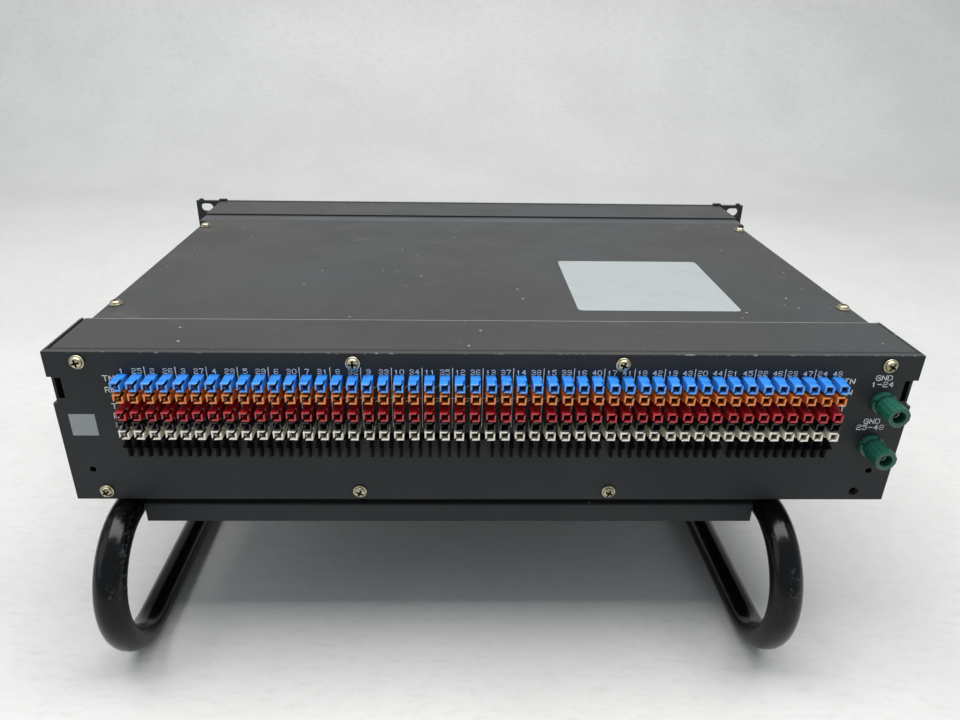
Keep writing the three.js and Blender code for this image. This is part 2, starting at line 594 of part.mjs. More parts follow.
function stand() {
  const toFlats = LEG_RADIUS / Math.cos(Math.PI / LEG_SIDES);
  const tube = solid(new THREE.TubeGeometry(new LegLine(), LEG_STEPS, toFlats, LEG_SIDES, true));
  const middle = FLOOR + LEG_RADIUS + LEG_BEND;
  place('left_leg_tube', tube, GLOSS_PAINT, [LEG_X[0], 0, middle]);
  place('right_leg_tube', tube, GLOSS_PAINT, [LEG_X[1], 0, middle]);
  const width = [LEG_X[0] + toFlats + GAP, LEG_X[1] - toFlats - GAP];
  const shelf = join([
    block(width, [LEG_REAR_CENTRE, SHELF_FRONT], [SHELF_TOP - SHEET, SHELF_TOP]),
    block(width, [LEG_REAR_CENTRE, LEG_REAR_CENTRE + SHEET], [SHELF_BOTTOM, SHELF_TOP]),
    block(width, [SHELF_FRONT - SHEET, SHELF_FRONT], [SHELF_BOTTOM, SHELF_TOP]),
  ]);
  place('shelf_plate', shelf, POWDER_COAT);
}

rearPanel();
body();
frontFrame();
frontPanel();
JACK_ROWS.forEach(jackRow);
JACK_ROWS.forEach(labelStrip);
ROWS.forEach(terminalRow);
wireComb();
board();
JACK_ROWS.forEach((row, index) => harness(row, HARNESS_Z[index]));
ground(JACK_ROWS[0], 1);
ground(JACK_ROWS[1], 0);
groundPost('upper', POST_Z[0]);
groundPost('lower', POST_Z[1]);
screws();
stand();

export default part;
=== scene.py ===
"""A two-unit rack patch panel on a tubular desk stand, seen from its rear terminals.

Shapes are drawn in millimetres in the chassis frame: X across, Y from the rear face towards the front
jacks, Z up from the chassis bottom. CHASSIS turns that frame into the scene's metres.
"""
import json
import math
import random

import bmesh
import bpy
from mathutils import Matrix, Vector


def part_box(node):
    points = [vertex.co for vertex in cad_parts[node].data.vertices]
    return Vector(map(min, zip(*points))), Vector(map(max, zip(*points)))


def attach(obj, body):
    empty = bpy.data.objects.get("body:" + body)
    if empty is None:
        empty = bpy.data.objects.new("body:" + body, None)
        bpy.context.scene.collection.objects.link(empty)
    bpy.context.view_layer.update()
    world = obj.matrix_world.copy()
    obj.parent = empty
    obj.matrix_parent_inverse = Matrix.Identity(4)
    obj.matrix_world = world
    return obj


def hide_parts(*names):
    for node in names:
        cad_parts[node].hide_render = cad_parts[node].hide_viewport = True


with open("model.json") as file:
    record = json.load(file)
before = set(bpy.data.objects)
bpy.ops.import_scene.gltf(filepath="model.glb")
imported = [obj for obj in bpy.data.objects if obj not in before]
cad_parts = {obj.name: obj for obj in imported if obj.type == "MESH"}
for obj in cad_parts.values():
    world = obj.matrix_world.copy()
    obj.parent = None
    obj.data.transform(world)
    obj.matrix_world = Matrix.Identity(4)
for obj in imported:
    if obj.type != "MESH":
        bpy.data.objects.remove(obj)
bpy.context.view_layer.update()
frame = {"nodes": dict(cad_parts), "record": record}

MM = 0.001
ROOT = "patch_panel"
REAR_LOW, REAR_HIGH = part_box("rear_panel")
CHASSIS = Matrix.Translation((0, REAR_LOW.y, REAR_LOW.z)) @ Matrix.Scale(MM, 4)
TO_MM = CHASSIS.inverted()
FACE_Y = REAR_LOW.y              # the rear face, in the scene's metres


def box_mm(node):
    """A CAD node's two corners in the chassis frame."""
    low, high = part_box(node)
    return TO_MM @ low, TO_MM @ high


HEIGHT = (REAR_HIGH.z - REAR_LOW.z) / MM
HALF_WIDTH = REAR_HIGH.x / MM

# Terminals: the pitch of the columns is read from a row's carrier bar, which runs END_MARGIN past its end
# columns. Each row has a plastic, and a reach out of the rear face.
COLUMNS = 48
END_MARGIN = 5.4
CARRIER_LOW, CARRIER_HIGH = box_mm("tip_terminals")
FIELD_LEFT = CARRIER_LOW.x + END_MARGIN
COLUMN_PITCH = (CARRIER_HIGH.x - END_MARGIN - FIELD_LEFT) / (COLUMNS - 1)
ROWS = {
    "tip_normal_terminals": ("blue_plastic", 9.8),
    "ring_normal_terminals": ("orange_plastic", 9.8),
    "tip_terminals": ("red_plastic", 10.6),
    "ring_terminals": ("black_terminal_plastic", 10.4),
    "sleeve_terminals": ("ivory_plastic", 10.6),
}
TUBE_HALF = 2.475
TUBE_WALL = 0.82
TUBE_BORE = TUBE_HALF - TUBE_WALL
TUBE_ROOT = 2.0                  # behind the rear face, like CARRIER_FACE
CARRIER_FACE = 1.8
SLOT_DEPTH = 4.3                 # of the slots in a tube's corners, from its open end
SLOT_WIDTH = 1.15
CONTACT = {"outer": 1.25, "inner": 0.8, "recess": 3.8, "root": 1.0, "start": 75, "sweep": 300, "steps": 9}

# Lines across the cover: how far each is from the rear face, and how far it reaches to either side. The
# crease line is painted dark as the shade in the crease behind the rear fold, the flange edge is a painted
# highlight and the lip is a band of painted sheen.
REAR_FOLD = (0.0, 1.1)
CREASE_SHADE = (3.9, 1.1)
FLANGE_HIGHLIGHT = (43.4, 0.6)
LIP_SHEEN = (264.0, 12.5)
LIP_END = (253.4, 3.4)

# Printing, by height above the chassis bottom.
NUMBER_LINE = 75.85
POST_MARKS = (("GND", 73.7), ("1-24", 70.0), ("GND", 48.5), ("25-48", 44.8))
POST_MARK_X = 200.9
RULE = {"bottom": 45.6, "top": 79.4, "width": 0.34}
LINK_MARKS = ((68.2, 70.2), (60.3, 61.4))
LINK_HALF = 1.1
LINK_LINE = 0.6                  # above the middle of the orange and red rows
MARK_PLATE = {"x": (-212.8, -199.6), "z": (39.9, 52.5)}

# Ground posts, stand and front. The posts and the jack rows are both in pairs.
LEVELS = ("upper", "lower")
POST_HOLE = 2.95
LEG_RADIUS = 8.0
LEG_FLAT = {"shift": 0.5, "through": 0.8, "across": 0.35, "width": 0.15}    # out of round at a bend
JACKS = 24
JACK_PITCH = 15.875
JACK = {"hole": 5.2, "bore": 3.3, "gap": 0.3, "bar": 5.0, "bushing": 26.0, "half_width": 5.3,
        "half_height": 7.9}
EAR_TABS = ((214.6, 221.4), (235.4, 238.6))
EAR_SLOT = {"x": 232.5, "edge": 5.95, "half": 1.9, "radius": 3.4}
SCREW_HOLE = 2.3
BOX_GAP = 0.35                   # between the box's top and the front panel's upper edge
LABEL = {"x": 101.0, "y": 106.0, "width": 94.0, "depth": 92.0, "radius": 3.0}
FLAT_AREA = 60.0                 # square millimetres: larger faces of sheet and mouldings are shaded flat


def row_height(row):
    """The Z of a row's middle in the chassis frame."""
    low, high = box_mm(row)
    return (low.z + high.z) / 2


# ---- Colour and materials ----
def srgb(value):
    """A 24-bit sRGB colour as linear RGBA."""
    channels = [(value >> shift & 255) / 255 for shift in (16, 8, 0)]
    linear = [c / 12.92 if c <= 0.04045 else ((c + 0.055) / 1.055) ** 2.4 for c in channels]
    return (*linear, 1.0)


def scaled(colour, factor):
    """A colour made lighter or darker."""
    return (*[min(1.0, c * factor) for c in colour[:3]], 1.0)


class Shader:
    """A Principled material whose fields are built from object-space textures."""

    def __init__(self, name, colour, roughness, metallic=0.0):
        self.material = bpy.data.materials.new(name)
        self.material.use_nodes = True
        self.nodes = self.material.node_tree.nodes
        self.links = self.material.node_tree.links
        self.principled = self.nodes["Principled BSDF"]
        self.principled.inputs["Base Color"].default_value = colour
        self.principled.inputs["Roughness"].default_value = roughness
        self.principled.inputs["Metallic"].default_value = metallic
        self.place = self.nodes.new("ShaderNodeTexCoord").outputs["Object"]
        self.colour = colour
        self.roughness = roughness
        self.height = None

    def noise(self, scale, detail=4.0, rough=0.55, stretch=None, distortion=0.0):
        """Noise with about scale features a metre, as a 0 to 1 value; stretch packs an axis more tightly."""
        place = self.place
        if stretch:
            mapping = self.nodes.new("ShaderNodeMapping")
            mapping.inputs["Scale"].default_value = stretch
            self.links.new(place, mapping.inputs["Vector"])
            place = mapping.outputs["Vector"]
        texture = self.nodes.new("ShaderNodeTexNoise")
        texture.inputs["Scale"].default_value = scale
        texture.inputs["Detail"].default_value = detail
        texture.inputs["Roughness"].default_value = rough
        texture.inputs["Distortion"].default_value = distortion
        self.links.new(place, texture.inputs["Vector"])
        return texture.outputs["Fac"]

    def cells(self, scale):
        """Distance to the nearest of about scale scattered points a metre."""
        texture = self.nodes.new("ShaderNodeTexVoronoi")
        texture.inputs["Scale"].default_value = scale
        self.links.new(self.place, texture.inputs["Vector"])
        return texture.outputs["Distance"]

    def remap(self, value, low, high, to_low=0.0, to_high=1.0):
        """A value eased from one range into another."""
        node = self.nodes.new("ShaderNodeMapRange")
        node.interpolation_type = "SMOOTHSTEP"
        limits = (("From Min", low), ("From Max", high), ("To Min", to_low), ("To Max", to_high))
        for name, number in limits:
            node.inputs[name].default_value = number
        self.links.new(value, node.inputs["Value"])
        return node.outputs["Result"]

    def math(self, operation, first, second):
        """A Math node; each of its two inputs is a number or a socket."""
        node = self.nodes.new("ShaderNodeMath")
        node.operation = operation
        for socket, value in zip(node.inputs, (first, second)):
            if isinstance(value, (int, float)):
                socket.default_value = value
            else:
                self.links.new(value, socket)
        return node.outputs["Value"]

    def axis(self, index):
        """One object-space coordinate, in metres."""
        node = self.nodes.new("ShaderNodeSeparateXYZ")
        self.links.new(self.place, node.inputs["Vector"])
        return node.outputs[index]

    def facing_up(self):
        """How far a face points up, from -1 to 1."""
        node = self.nodes.new("ShaderNodeSeparateXYZ")
        texture = self.nodes.new("ShaderNodeTexCoord")
        self.links.new(texture.outputs["Normal"], node.inputs["Vector"])
        return node.outputs["Z"]

    def near(self, index, value, reach):
        """1 on the plane where a coordinate has that value, falling to 0 at reach."""
        offset = self.math("ABSOLUTE", self.math("SUBTRACT", self.axis(index), value), 0.0)
        return self.remap(offset, 0.0, reach, 1.0, 0.0)

    def line(self, distance, reach):
        """1 along a line across the cover, at a distance from the rear face, both in millimetres."""
        return self.near(1, FACE_Y + distance * MM, reach * MM)

    def tint(self, mask, colour):
        """Mixes the base colour towards another where the mask is 1."""
        mix = self.nodes.new("ShaderNodeMix")
        mix.data_type = "RGBA"
        self.links.new(mask, mix.inputs["Factor"])
        socket = self.principled.inputs["Base Color"]
        if socket.is_linked:
            self.links.new(socket.links[0].from_socket, mix.inputs["A"])
        else:
            mix.inputs["A"].default_value = self.colour
        mix.inputs["B"].default_value = colour
        self.links.new(mix.outputs["Result"], socket)
        return self

    def polish(self, mask, roughness):
        """Moves the roughness towards another value where the mask is 1."""
        mix = self.nodes.new("ShaderNodeMix")
        self.links.new(mask, mix.inputs["Factor"])
        socket = self.principled.inputs["Roughness"]
        if socket.is_linked:
            self.links.new(socket.links[0].from_socket, mix.inputs["A"])
        else:
            mix.inputs["A"].default_value = self.roughness
        mix.inputs["B"].default_value = roughness
        self.links.new(mix.outputs["Result"], socket)
        return self

    def relief(self, value, depth):
        """Adds a bump whose full height is depth millimetres."""
        bump = self.nodes.new("ShaderNodeBump")
        bump.inputs["Distance"].default_value = depth * MM
        self.links.new(value, bump.inputs["Height"])
        if self.height:
            self.links.new(self.height, bump.inputs["Normal"])
        self.height = bump.outputs["Normal"]
        self.links.new(self.height, self.principled.inputs["Normal"])
        return self


def powder_coat():
    """Matte charcoal paint with a fine grain, pale specks, dust on the upper faces and chips rubbed pale
    along the rear fold, with painted shade in the crease behind that fold, a painted highlight on the
    flange's edge and painted sheen on the lip's band.
    """
    paint = Shader("powder_coat", srgb(0x1F2325), 0.48)
    paint.principled.inputs["Specular IOR Level"].default_value = 0.32
    paint.relief(paint.noise(2600, 3), 0.012)
    paint.relief(paint.noise(14, 2), 0.25)
    paint.tint(paint.remap(paint.noise(9, 6), 0.45, 0.75, 0.0, 0.35), srgb(0x2B2E30))
    upward = paint.remap(paint.facing_up(), 0.8, 0.98)
    dust = paint.remap(paint.noise(7, 6), 0.2, 0.7, 0.7, 1.0)
    paint.tint(paint.math("MULTIPLY", upward, dust), srgb(0x3B3A39))
    cool = paint.remap(paint.noise(4, 3), 0.42, 0.6, 0.0, 0.75)
    paint.tint(paint.math("MULTIPLY", upward, cool), srgb(0x353A3B))
    smudge = paint.remap(paint.noise(26, 6, 0.65, distortion=0.8), 0.6, 0.78, 0.0, 0.3)
    paint.tint(paint.math("MULTIPLY", upward, smudge), srgb(0x6B6967))
    paint.tint(paint.remap(paint.cells(420), 0.05, 0.12, 0.5, 0.0), srgb(0x5A5D5E))
    specks = paint.math("MULTIPLY", paint.remap(paint.cells(95), 0.05, 0.09, 0.8, 0.0),
                        paint.remap(paint.noise(18, 3), 0.5, 0.6))
    paint.tint(paint.math("MULTIPLY", upward, specks), srgb(0xA0A09C))
    paint.polish(paint.remap(paint.noise(22, 5), 0.35, 0.7), 0.58)
    top = paint.near(2, REAR_HIGH.z, 1.1 * MM)
    rear_fold = paint.math("MULTIPLY", paint.line(*REAR_FOLD), top)
    nicks = paint.math("MULTIPLY", rear_fold, paint.remap(paint.noise(260, 5, 0.7), 0.56, 0.66))
    paint.tint(nicks, srgb(0x8D9090))
    # A painted dark line: the shade in the crease just behind the rear fold, on the top.
    crease_shade = paint.math("MULTIPLY", paint.line(*CREASE_SHADE), top)
    paint.tint(crease_shade, srgb(0x0E0F10))
    # A painted highlight: the flange's front edge along the cover, lighter where it catches the light.
    flange_highlight = paint.math("MULTIPLY", paint.line(*FLANGE_HIGHLIGHT), top)
    paint.tint(flange_highlight, srgb(0x9A9A98))
    # A painted sheen: the lip's band across the top is tinted paler where it catches the light, mottled by
    # noise.
    lip_sheen = paint.math("MULTIPLY", paint.line(*LIP_SHEEN), upward)
    sheen_mottle = paint.remap(paint.noise(12, 4), 0.35, 0.6, 0.5, 1.0)
    paint.tint(paint.math("MULTIPLY", lip_sheen, sheen_mottle), srgb(0x4A4E52))
    lip_end = paint.math("MULTIPLY", paint.line(*LIP_END), upward)
    paint.tint(paint.math("MULTIPLY", lip_end, 0.8), srgb(0x121314))
    streaks = paint.noise(60, 2, 0.4, stretch=(1.0, 14.0, 1.0), distortion=0.4)
    scratches = paint.math("MULTIPLY", paint.remap(streaks, 0.735, 0.76), 0.25)
    paint.tint(paint.math("MULTIPLY", upward, scratches), srgb(0x6A6D6E))
    return paint.material


def moulded_shader(name, colour, roughness, shade=0.8, coat=0.0):
    """Moulded plastic: a slight change of depth, a faint flow grain and a soft sheen."""
    plastic = Shader(name, colour, roughness)
    plastic.tint(plastic.remap(plastic.noise(180, 3), 0.35, 0.7), scaled(colour, shade))
    plastic.polish(plastic.remap(plastic.noise(700, 3), 0.4, 0.65), roughness + 0.12)
    plastic.relief(plastic.noise(1800, 2), 0.01)
    plastic.principled.inputs["Coat Weight"].default_value = coat
    plastic.principled.inputs["Coat Roughness"].default_value = 0.2
    return plastic


def moulded(*finish):
    """A plain moulded plastic."""
    return moulded_shader(*finish).material


def tube_plastic(name, colour, rim_highlight, row, roughness=0.36, coat=0.25):
    """Terminal plastic: deep in the bores of a row's tubes it is darker with painted shade, and on their end
    faces paler with a painted highlight.
    """
    plastic = moulded_shader(name, colour, roughness, 0.82, coat)
    end = FACE_Y - ROWS[row][1] * MM
    bore, wall = (TUBE_BORE + 0.3) * MM, 0.2 * MM
    from_first = plastic.math("SUBTRACT", plastic.axis(0), FIELD_LEFT * MM)
    column = plastic.math("DIVIDE", from_first, COLUMN_PITCH * MM)
    part = plastic.math("SUBTRACT", plastic.math("FRACT", plastic.math("ADD", column, 0.5), 0.0), 0.5)
    across = plastic.math("MULTIPLY", plastic.math("ABSOLUTE", part, 0.0), COLUMN_PITCH * MM)
    middle = REAR_LOW.z + row_height(row) * MM
    upward = plastic.math("ABSOLUTE", plastic.math("SUBTRACT", plastic.axis(2), middle), 0.0)
    # Painted shade: the plastic darkens deeper inside each tube's bore.
    inside = plastic.math("MULTIPLY", plastic.remap(across, bore, bore + wall, 1.0, 0.0),
                          plastic.remap(upward, bore, bore + wall, 1.0, 0.0))
    depth = plastic.remap(plastic.axis(1), end + 0.2 * MM, end + 2.8 * MM, 0.0, 0.8)
    plastic.tint(plastic.math("MULTIPLY", inside, depth), scaled(colour, 0.2))
    # A painted highlight: the tubes' end faces are tinted paler, as where their edges catch the light.
    plastic.tint(plastic.remap(plastic.axis(1), end + 0.1 * MM, end + 0.35 * MM, 0.7, 0.0), rim_highlight)
    return plastic.material


def metal(name, colour, roughness, tarnish, streaks=(1.0, 1.0, 1.0)):
    """Plated or bare metal with a duller tone in patches and fine tool marks."""
    plate = Shader(name, colour, roughness, 1.0)
    plate.tint(plate.remap(plate.noise(420, 4), 0.4, 0.7), tarnish)
    plate.polish(plate.remap(plate.noise(900, 3), 0.4, 0.7), roughness + 0.18)
    plate.relief(plate.noise(2400, 2, stretch=streaks), 0.012)
    return plate.material


def gloss_paint():
    """Thick glossy black paint with a slight orange peel, rubbed dull in fine patches high on the bends; the
    patches' paler tint is also a painted highlight where the bends catch the light.
    """
    paint = Shader("gloss_paint", srgb(0x040506), 0.17)
    paint.principled.inputs["Specular IOR Level"].default_value = 0.24
    paint.relief(paint.noise(240, 2), 0.05)
    bend_top, reach = 72 * MM, 26 * MM
    grit = paint.remap(paint.noise(380, 6, 0.7), 0.5, 0.62)
    rubbed_and_highlight = paint.math("MULTIPLY", paint.near(2, bend_top, reach), grit)
    scuffs_and_highlight = paint.math("MULTIPLY", rubbed_and_highlight, paint.remap(paint.noise(45, 3), 0.42, 0.6))
    # Partly rubbed paint and partly a painted highlight: the patches high on the bends are tinted paler.
    paint.tint(paint.math("MULTIPLY", scuffs_and_highlight, 0.6), srgb(0x4A4D50))
    paint.polish(scuffs_and_highlight, 0.5)
    return paint.material


def laminate():
    """Green circuit board with a faint weave."""
    board = Shader("laminate", srgb(0x2F5B35), 0.4)
    board.tint(board.remap(board.noise(900, 2, stretch=(1, 1, 6)), 0.4, 0.6), srgb(0x24482B))
    board.relief(board.noise(1500, 2), 0.02)
    return board.material


def paper():
    """Off-white card, yellowed in patches."""
    sheet = Shader("paper", srgb(0xE9E7E0), 0.75)
    sheet.tint(sheet.remap(sheet.noise(60, 5), 0.45, 0.75), srgb(0xD8D4C8))
    sheet.relief(sheet.noise(2200, 3), 0.02)
    return sheet.material


def label_paper():
    """Matt pale grey label stock, a little soiled."""
    sheet = Shader("label_paper", srgb(0x93999A), 0.6)
    sheet.tint(sheet.remap(sheet.noise(45, 6), 0.5, 0.85), srgb(0x878C8B))
    sheet.relief(sheet.noise(1600, 3), 0.01)
    return sheet.material


def ribbon():
    """Grey ribbon cable: one ridge for each of its parallel wires, with painted shade in the grooves between
    them.
    """
    jacket = Shader("ribbon", srgb(0x8A8D90), 0.5)
    wire_pitch = 1.27 * MM
    wave = jacket.math("SINE", jacket.math("MULTIPLY", jacket.axis(0), 2 * math.pi / wire_pitch), 0.0)
    jacket.relief(wave, 0.3)
    # Painted shade: the grooves between the wires are darker.
    jacket.tint(jacket.remap(wave, -1.0, -0.4, 1.0, 0.0), srgb(0x5F6265))
    return jacket.material


def ink():
    """White printing, thin enough in places for the paint to show."""
    printing = Shader("white_ink", srgb(0xF0F2F4), 0.6)
    printing.tint(printing.remap(printing.noise(1400, 4), 0.58, 0.8), srgb(0xA4AAB0))
    printing.relief(printing.noise(2600, 2), 0.01)
    return printing.material


MATERIALS = {
    "powder_coat": powder_coat(),
    "gloss_paint": gloss_paint(),
    "black_plastic": moulded("black_plastic", srgb(0x0D0E0F), 0.42),
    "green_plastic": moulded("green_plastic", srgb(0x145443), 0.3, 0.72, 0.3),
    # Each terminal plastic's second colour is the painted highlight on its tubes' end faces.
    "blue_plastic": tube_plastic("blue_plastic", srgb(0x2F84E0), srgb(0x7DB4F6), "tip_normal_terminals"),
    "orange_plastic": tube_plastic("orange_plastic", srgb(0xD86A1A), srgb(0xF2A264), "ring_normal_terminals"),
    "red_plastic": tube_plastic("red_plastic", srgb(0xA0101B), srgb(0xC64A50), "tip_terminals"),
    "black_terminal_plastic": tube_plastic("black_terminal_plastic", srgb(0x050505), srgb(0x161616),
                                           "ring_terminals", 0.3),
    "ivory_plastic": tube_plastic("ivory_plastic", srgb(0xE4DCC6), srgb(0xFDFBF2), "sleeve_terminals", 0.4,
                                  0.1),
    "yellow_zinc": metal("yellow_zinc", srgb(0xCDC6AC), 0.26, srgb(0x9C9270)),
    "nickel": metal("nickel", srgb(0xB9B8B2), 0.24, srgb(0x8B8983)),
    "brass": metal("brass", srgb(0xB08D45), 0.3, srgb(0x86682E)),
    "black_steel": metal("black_steel", srgb(0x1B1C1D), 0.4, srgb(0x2A2B2C)),
    "laminate": laminate(),
    "paper": paper(),
    "ribbon": ribbon(),
    "green_wire": moulded("green_wire", srgb(0x2F7A3E), 0.45),
}
INK = ink()
# Painted shade: a dark metal that stands for the shade inside the screws' cross recesses.
RECESS_SHADE_METAL = metal("recess_shade_metal", srgb(0x3A3424), 0.5, srgb(0x1E1A10))
CONTACT_METAL = metal("contact_metal", srgb(0x4A453E), 0.4, srgb(0x26241F))
COMB_PLASTIC = moulded("comb_plastic", srgb(0x030303), 0.6)
COMB_PLASTIC.node_tree.nodes["Principled BSDF"].inputs["Specular IOR Level"].default_value = 0.1
LABEL_PAPER = label_paper()

NODE_SLOT = {entry["node"]: entry["material_slot"] for entry in frame["record"]["subparts"]}
for node_name, slot_name in NODE_SLOT.items():
    slots = frame["nodes"][node_name].data.materials
    slots.clear()
    slots.append(MATERIALS[slot_name])


# ---- Mesh helpers ----
def finish_mesh(name, bm, material, body=ROOT, replaces=(), smooth=35, flat_above=math.inf):
    """Turns a mesh drawn in chassis millimetres into a piece that rides on a body.

    Faces of more than flat_above square millimetres are shaded flat, the rest smooth up to an angle.
    """
    bmesh.ops.recalc_face_normals(bm, faces=bm.faces)
    bm.transform(CHASSIS)
    mesh = bpy.data.meshes.new(name)
    bm.to_mesh(mesh)
    bm.free()
    mesh.set_sharp_from_angle(angle=math.radians(smooth))
    for face in mesh.polygons:
        face.use_smooth = face.area < flat_above * MM * MM
    mesh.materials.append(material)
    piece = bpy.data.objects.new(name, mesh)
    bpy.context.scene.collection.objects.link(piece)
    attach(piece, body)
    if replaces:
        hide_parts(*replaces)
    return piece


def merge(into, other, matrix=Matrix()):
    """Adds a transformed copy of one bmesh to another."""
    scratch = bpy.data.meshes.new("scratch")
    other.to_mesh(scratch)
    scratch.transform(matrix)
    into.from_mesh(scratch)
    bpy.data.meshes.remove(scratch)


def skin(bm, near, far):
    """A band of faces between two rings that have as many corners as each other."""
    for i, corner in enumerate(near):
        j = (i + 1) % len(near)
        bm.faces.new((near[j], corner, far[i], far[j]))


def extrude_outline(bm, outline, near_y, far_y):
    """A prism along Y from a closed outline of (x, z) points."""
    front = [bm.verts.new((x, near_y, z)) for x, z in outline]
    back = [bm.verts.new((x, far_y, z)) for x, z in outline]
    bm.faces.new(front)
    bm.faces.new(back[::-1])
    skin(bm, front, back)


def block(bm, low, high):
    """A box between two corners."""
    extrude_outline(bm, [(low[0], low[2]), (high[0], low[2]), (high[0], high[2]), (low[0], high[2])],
                    low[1], high[1])


def bevel_all(bm, width, segments=1, angle=30):
    """Rounds every edge whose faces meet at more than angle degrees."""
    edges = [e for e in bm.edges if len(e.link_faces) == 2 and e.calc_face_angle(0) > math.radians(angle)]
    bmesh.ops.bevel(bm, geom=edges, offset=width, segments=segments, profile=0.5, affect="EDGES",
                    clamp_overlap=True)


def turned(profile, sides, close=False):
    """A shape turned about Y from (radius, y) points; close joins the last point to the first."""
    bm = bmesh.new()
    rings = []
    for radius, y in profile:
        if radius < 1e-6:
            rings.append([bm.verts.new((0, y, 0))])
        else:
            rings.append([bm.verts.new((radius * math.cos(2 * math.pi * i / sides), y,
                                        radius * math.sin(2 * math.pi * i / sides))) for i in range(sides)])
    pairs = list(zip(rings, rings[1:]))
    if close:
        pairs.append((rings[-1], rings[0]))
    for near, far in pairs:
        for i in range(sides):
            j = (i + 1) % sides
            ring = [near[i % len(near)], near[j % len(near)], far[j % len(far)], far[i % len(far)]]
            corners = list(dict.fromkeys(ring))
            if len(corners) > 2:
                bm.faces.new(corners)
    return bm


def cad_copy(node):
    """A CAD node's shape in chassis millimetres, with its flat faces whole again."""
    bm = bmesh.new()
    bm.from_mesh(frame["nodes"][node].data)
    bm.transform(TO_MM)
    bmesh.ops.remove_doubles(bm, verts=bm.verts, dist=0.005)
    bmesh.ops.dissolve_limit(bm, angle_limit=math.radians(1), verts=bm.verts, edges=bm.edges)
    return bm


def cut_with(bm, tool):
    """Subtracts one closed bmesh from another and returns the result."""
    made = []
    for name, source in (("whole", bm), ("tool", tool)):
        mesh = bpy.data.meshes.new(name)
        source.to_mesh(mesh)
        source.free()
        obj = bpy.data.objects.new(name, mesh)
        bpy.context.scene.collection.objects.link(obj)
        made.append(obj)
    cutter = made[0].modifiers.new("cut", "BOOLEAN")
    cutter.operation = "DIFFERENCE"
    cutter.solver = "EXACT"
    cutter.object = made[1]
    bpy.context.view_layer.update()
    result = bmesh.new()
    result.from_object(made[0], bpy.context.evaluated_depsgraph_get())
    for obj in made:
        mesh = obj.data
        bpy.data.objects.remove(obj)
        bpy.data.meshes.remove(mesh)
    return result


# ---- Sheet metal ----
def is_fold(edge, planes):
    """True on an edge that lies in two of the given (axis, value) planes."""
    ends = [v.co for v in edge.verts]
    on = [plane for plane in planes if all(abs(co[plane[0]] - plane[1]) < 0.05 for co in ends)]
    return len({plane[0] for plane in on}) > 1


def sheet_piece(node, fold_planes=(), fold_radius=0.5, edge=0.14):
    """A CAD sheet with rounded folds and slightly broken cut edges."""
    bm = cad_copy(node)
    folds = [e for e in bm.edges if is_fold(e, fold_planes)]
    if folds:
        bmesh.ops.bevel(bm, geom=folds, offset=fold_radius, segments=4, profile=0.5, affect="EDGES",
                        clamp_overlap=True)
    bevel_all(bm, edge, 1, 50)
    slot = NODE_SLOT[node]
    finish_mesh(f"{node}_detail", bm, MATERIALS[slot], replaces=[node], flat_above=FLAT_AREA)


def sheet_metal():
    """The folded and flat sheets of the box, the front frame and the stand's shelf."""
    half = HALF_WIDTH
    sheet_piece("rear_panel", [(1, 0.0), (2, HEIGHT), (2, 0.0), (0, half), (0, -half)])
    for node in ("top_cover", "bottom_pan", "left_side_plate", "right_side_plate"):
        low, high = box_mm(node)
        sheet_piece(node, [(2, high.z), (0, low.x), (0, high.x)] if "plate" in node else ())
    low, high = box_mm("front_frame")
    sheet_piece("front_frame", [(2, high.z), (0, high.x), (0, low.x), (2, low.z)], 0.8)
    low, high = box_mm("shelf_plate")
    sheet_piece("shelf_plate", [(1, low.y), (2, high.z), (1, high.y)], 1.0)


# ---- Terminals ----
def ell_outline(sign):
    """One of a tube's two halves, seen from the rear, between the slots at two opposite corners."""
    outer, inner = TUBE_HALF, TUBE_BORE
    step = SLOT_WIDTH / math.sqrt(2)
    points = [(outer - step, outer), (-outer, outer), (-outer, step - outer),
              (-inner, step - inner), (-inner, inner), (inner - step, inner)]
    return [(sign * x, sign * z) for x, z in points]


def terminal_tube(reach):
    """One square tube with slotted corners, standing out of the face by reach."""
    tube = bmesh.new()
    for sign in (1, -1):
        half = bmesh.new()
        extrude_outline(half, ell_outline(sign), -reach, SLOT_DEPTH - reach)
        bmesh.ops.recalc_face_normals(half, faces=half.faces)
        bevel_all(half, 0.16, 2)
        merge(tube, half)
        half.free()
    outer, inner = TUBE_HALF * math.sqrt(2), TUBE_BORE * math.sqrt(2)
    ring = turned([(outer, SLOT_DEPTH - reach), (outer, TUBE_ROOT), (inner, TUBE_ROOT),
                   (inner, SLOT_DEPTH - reach)], 4, close=True)
    merge(tube, ring, Matrix.Rotation(math.pi / 4, 4, "Y"))
    ring.free()
    return tube


def contact(reach):
    """The split spring contact inside a tube."""
    bm = bmesh.new()
    steps = CONTACT["steps"]
    arc = [math.radians(CONTACT["start"] + CONTACT["sweep"] * i / steps) for i in range(steps + 1)]
    outline = [(CONTACT["outer"] * math.cos(a), CONTACT["outer"] * math.sin(a)) for a in arc]
    outline += [(CONTACT["inner"] * math.cos(a), CONTACT["inner"] * math.sin(a)) for a in reversed(arc)]
    extrude_outline(bm, outline, CONTACT["recess"] - reach, CONTACT["root"])
    return bm


